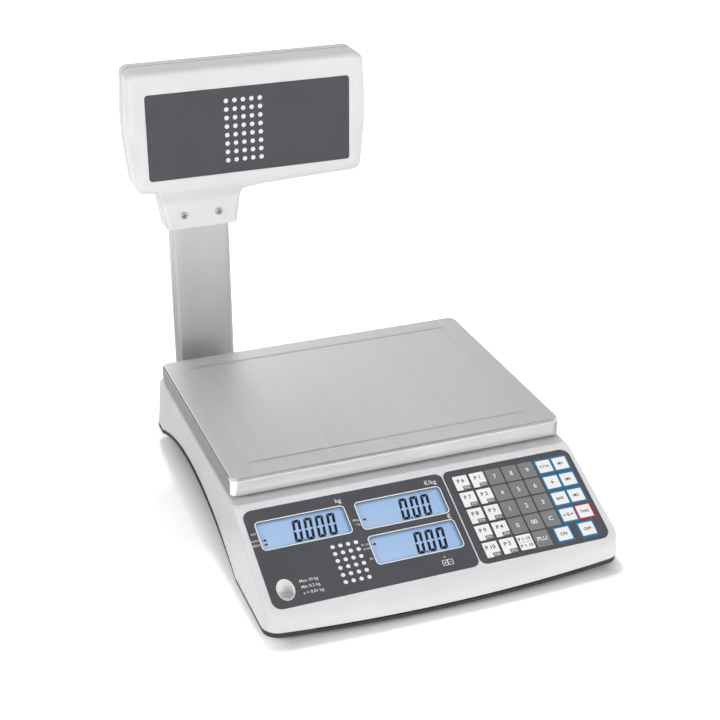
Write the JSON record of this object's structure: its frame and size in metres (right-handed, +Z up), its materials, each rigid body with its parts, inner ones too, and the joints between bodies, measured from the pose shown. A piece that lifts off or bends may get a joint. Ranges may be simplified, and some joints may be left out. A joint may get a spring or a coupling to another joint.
{
  "type": "retail price scale",
  "caption": "Counter price scale with a stainless weighing pan, a sloping console of displays and keys, and a customer display on a column.",
  "frame": {"origin": "on the counter under the middle of the object's box", "axes": "+X to the operator's right, +Y away from the operator towards the customer, +Z up"},
  "size_m": [0.3158, 0.3944, 0.3555],
  "materials": {
    "white_plastic": "light grey-white moulded plastic, fine grain",
    "dark_plastic": "dark grey moulded plastic",
    "overlay_film": "dark grey printed film",
    "steel": "brushed stainless",
    "aluminium": "plain machined and cast aluminium",
    "lcd_glass": "light blue lit display",
    "circuit_board": "green solder mask",
    "key_white": "white printed film",
    "key_grey": "mid grey printed film",
    "rubber": "black rubber",
    "level_clear": "clear plastic with a yellow-green fluid",
    "battery_case": "dark battery case"
  },
  "bodies": {
    "base": {"base_tray": "dark_plastic", "top_housing": "white_plastic", "display_overlay": "overlay_film", "keypad_overlay": "overlay_film", "lcd_weight": "lcd_glass", "lcd_unit_price": "lcd_glass", "lcd_total": "lcd_glass", "console_board": "circuit_board", "load_cell": "aluminium", "spirit_level": "level_clear", "battery": "battery_case", "column": "steel", "head_front_shell": "white_plastic", "head_rear_shell": "white_plastic", "head_panel": "overlay_film", "customer_panel": "overlay_film", "customer_board": "lcd_glass", "neck_screw_left": "steel", "neck_screw_right": "steel", "power_socket": "dark_plastic"},
    "platform": {"pan_support": "aluminium"},
    "pan": {"weighing_pan": "steel"},
    "foot_front_left": {"foot_front_left": "rubber"},
    "foot_front_right": {"foot_front_right": "rubber"},
    "foot_rear_left": {"foot_rear_left": "rubber"},
    "foot_rear_right": {"foot_rear_right": "rubber"},
    "key_lookup_1": {"key_lookup_1": "key_white"},
    "key_lookup_2": {"key_lookup_2": "key_white"},
    "key_lookup_3": {"key_lookup_3": "key_white"},
    "key_lookup_4": {"key_lookup_4": "key_white"},
    "key_lookup_5": {"key_lookup_5": "key_white"},
    "key_lookup_6": {"key_lookup_6": "key_white"},
    "key_lookup_7": {"key_lookup_7": "key_white"},
    "key_lookup_8": {"key_lookup_8": "key_white"},
    "key_lookup_9": {"key_lookup_9": "key_white"},
    "key_lookup_10": {"key_lookup_10": "key_white"},
    "key_lookup_bank": {"key_lookup_bank": "key_white"},
    "key_total": {"key_total": "key_white"},
    "key_memory_add": {"key_memory_add": "key_white"},
    "key_add": {"key_add": "key_white"},
    "key_memory_recall": {"key_memory_recall": "key_white"},
    "key_bar": {"key_bar": "key_white"},
    "key_memory_clear": {"key_memory_clear": "key_white"},
    "key_zero": {"key_zero": "key_white"},
    "key_tare": {"key_tare": "key_white"},
    "key_on": {"key_on": "key_white"},
    "key_off": {"key_off": "key_white"},
    "key_0": {"key_0": "key_grey"},
    "key_1": {"key_1": "key_grey"},
    "key_2": {"key_2": "key_grey"},
    "key_3": {"key_3": "key_grey"},
    "key_4": {"key_4": "key_grey"},
    "key_5": {"key_5": "key_grey"},
    "key_6": {"key_6": "key_grey"},
    "key_7": {"key_7": "key_grey"},
    "key_8": {"key_8": "key_grey"},
    "key_9": {"key_9": "key_grey"},
    "key_00": {"key_00": "key_grey"},
    "key_clear": {"key_clear": "key_grey"},
    "key_lookup": {"key_lookup": "key_grey"}
  },
  "joints": [
    {"name": "platform_deflection", "type": "slide", "parent": "base", "child": "platform", "axis": [0, 0, -1], "range_m": [0, 0.0004], "stiffness_N_per_m": 370000},
    {"name": "pan_lift", "type": "slide", "parent": "platform", "child": "pan", "axis": [0, 0, 1], "range_m": [0, 0.06]},
    {"name": "foot_front_left_height", "type": "slide", "parent": "base", "child": "foot_front_left", "axis": [0, 0, -1], "range_m": [0, 0.008]},
    {"name": "foot_front_right_height", "type": "slide", "parent": "base", "child": "foot_front_right", "axis": [0, 0, -1], "range_m": [0, 0.008]},
    {"name": "foot_rear_left_height", "type": "slide", "parent": "base", "child": "foot_rear_left", "axis": [0, 0, -1], "range_m": [0, 0.008]},
    {"name": "foot_rear_right_height", "type": "slide", "parent": "base", "child": "foot_rear_right", "axis": [0, 0, -1], "range_m": [0, 0.008]},
    {"name": "key_lookup_1_press", "type": "slide", "parent": "base", "child": "key_lookup_1", "axis": [0, 0.4212, -0.907], "range_m": [0, 0.0004], "stiffness_N_per_m": 7500},
    {"name": "key_lookup_2_press", "type": "slide", "parent": "base", "child": "key_lookup_2", "axis": [0, 0.4212, -0.907], "range_m": [0, 0.0004], "stiffness_N_per_m": 7500},
    {"name": "key_lookup_3_press", "type": "slide", "parent": "base", "child": "key_lookup_3", "axis": [0, 0.4212, -0.907], "range_m": [0, 0.0004], "stiffness_N_per_m": 7500},
    {"name": "key_lookup_4_press", "type": "slide", "parent": "base", "child": "key_lookup_4", "axis": [0, 0.4212, -0.907], "range_m": [0, 0.0004], "stiffness_N_per_m": 7500},
    {"name": "key_lookup_5_press", "type": "slide", "parent": "base", "child": "key_lookup_5", "axis": [0, 0.4212, -0.907], "range_m": [0, 0.0004], "stiffness_N_per_m": 7500},
    {"name": "key_lookup_6_press", "type": "slide", "parent": "base", "child": "key_lookup_6", "axis": [0, 0.4212, -0.907], "range_m": [0, 0.0004], "stiffness_N_per_m": 7500},
    {"name": "key_lookup_7_press", "type": "slide", "parent": "base", "child": "key_lookup_7", "axis": [0, 0.4212, -0.907], "range_m": [0, 0.0004], "stiffness_N_per_m": 7500},
    {"name": "key_lookup_8_press", "type": "slide", "parent": "base", "child": "key_lookup_8", "axis": [0, 0.4212, -0.907], "range_m": [0, 0.0004], "stiffness_N_per_m": 7500},
    {"name": "key_lookup_9_press", "type": "slide", "parent": "base", "child": "key_lookup_9", "axis": [0, 0.4212, -0.907], "range_m": [0, 0.0004], "stiffness_N_per_m": 7500},
    {"name": "key_lookup_10_press", "type": "slide", "parent": "base", "child": "key_lookup_10", "axis": [0, 0.4212, -0.907], "range_m": [0, 0.0004], "stiffness_N_per_m": 7500},
    {"name": "key_lookup_bank_press", "type": "slide", "parent": "base", "child": "key_lookup_bank", "axis": [0, 0.4212, -0.907], "range_m": [0, 0.0004], "stiffness_N_per_m": 7500},
    {"name": "key_total_press", "type": "slide", "parent": "base", "child": "key_total", "axis": [0, 0.4212, -0.907], "range_m": [0, 0.0004], "stiffness_N_per_m": 7500},
    {"name": "key_memory_add_press", "type": "slide", "parent": "base", "child": "key_memory_add", "axis": [0, 0.4212, -0.907], "range_m": [0, 0.0004], "stiffness_N_per_m": 7500},
    {"name": "key_add_press", "type": "slide", "parent": "base", "child": "key_add", "axis": [0, 0.4212, -0.907], "range_m": [0, 0.0004], "stiffness_N_per_m": 7500},
    {"name": "key_memory_recall_press", "type": "slide", "parent": "base", "child": "key_memory_recall", "axis": [0, 0.4212, -0.907], "range_m": [0, 0.0004], "stiffness_N_per_m": 7500},
    {"name": "key_bar_press", "type": "slide", "parent": "base", "child": "key_bar", "axis": [0, 0.4212, -0.907], "range_m": [0, 0.0004], "stiffness_N_per_m": 7500},
    {"name": "key_memory_clear_press", "type": "slide", "parent": "base", "child": "key_memory_clear", "axis": [0, 0.4212, -0.907], "range_m": [0, 0.0004], "stiffness_N_per_m": 7500},
    {"name": "key_zero_press", "type": "slide", "parent": "base", "child": "key_zero", "axis": [0, 0.4212, -0.907], "range_m": [0, 0.0004], "stiffness_N_per_m": 7500},
    {"name": "key_tare_press", "type": "slide", "parent": "base", "child": "key_tare", "axis": [0, 0.4212, -0.907], "range_m": [0, 0.0004], "stiffness_N_per_m": 7500},
    {"name": "key_on_press", "type": "slide", "parent": "base", "child": "key_on", "axis": [0, 0.4212, -0.907], "range_m": [0, 0.0004], "stiffness_N_per_m": 7500},
    {"name": "key_off_press", "type": "slide", "parent": "base", "child": "key_off", "axis": [0, 0.4212, -0.907], "range_m": [0, 0.0004], "stiffness_N_per_m": 7500},
    {"name": "key_0_press", "type": "slide", "parent": "base", "child": "key_0", "axis": [0, 0.4212, -0.907], "range_m": [0, 0.0004], "stiffness_N_per_m": 7500},
    {"name": "key_1_press", "type": "slide", "parent": "base", "child": "key_1", "axis": [0, 0.4212, -0.907], "range_m": [0, 0.0004], "stiffness_N_per_m": 7500},
    {"name": "key_2_press", "type": "slide", "parent": "base", "child": "key_2", "axis": [0, 0.4212, -0.907], "range_m": [0, 0.0004], "stiffness_N_per_m": 7500},
    {"name": "key_3_press", "type": "slide", "parent": "base", "child": "key_3", "axis": [0, 0.4212, -0.907], "range_m": [0, 0.0004], "stiffness_N_per_m": 7500},
    {"name": "key_4_press", "type": "slide", "parent": "base", "child": "key_4", "axis": [0, 0.4212, -0.907], "range_m": [0, 0.0004], "stiffness_N_per_m": 7500},
    {"name": "key_5_press", "type": "slide", "parent": "base", "child": "key_5", "axis": [0, 0.4212, -0.907], "range_m": [0, 0.0004], "stiffness_N_per_m": 7500},
    {"name": "key_6_press", "type": "slide", "parent": "base", "child": "key_6", "axis": [0, 0.4212, -0.907], "range_m": [0, 0.0004], "stiffness_N_per_m": 7500},
    {"name": "key_7_press", "type": "slide", "parent": "base", "child": "key_7", "axis": [0, 0.4212, -0.907], "range_m": [0, 0.0004], "stiffness_N_per_m": 7500},
    {"name": "key_8_press", "type": "slide", "parent": "base", "child": "key_8", "axis": [0, 0.4212, -0.907], "range_m": [0, 0.0004], "stiffness_N_per_m": 7500},
    {"name": "key_9_press", "type": "slide", "parent": "base", "child": "key_9", "axis": [0, 0.4212, -0.907], "range_m": [0, 0.0004], "stiffness_N_per_m": 7500},
    {"name": "key_00_press", "type": "slide", "parent": "base", "child": "key_00", "axis": [0, 0.4212, -0.907], "range_m": [0, 0.0004], "stiffness_N_per_m": 7500},
    {"name": "key_clear_press", "type": "slide", "parent": "base", "child": "key_clear", "axis": [0, 0.4212, -0.907], "range_m": [0, 0.0004], "stiffness_N_per_m": 7500},
    {"name": "key_lookup_press", "type": "slide", "parent": "base", "child": "key_lookup", "axis": [0, 0.4212, -0.907], "range_m": [0, 0.0004], "stiffness_N_per_m": 7500}
  ]
}
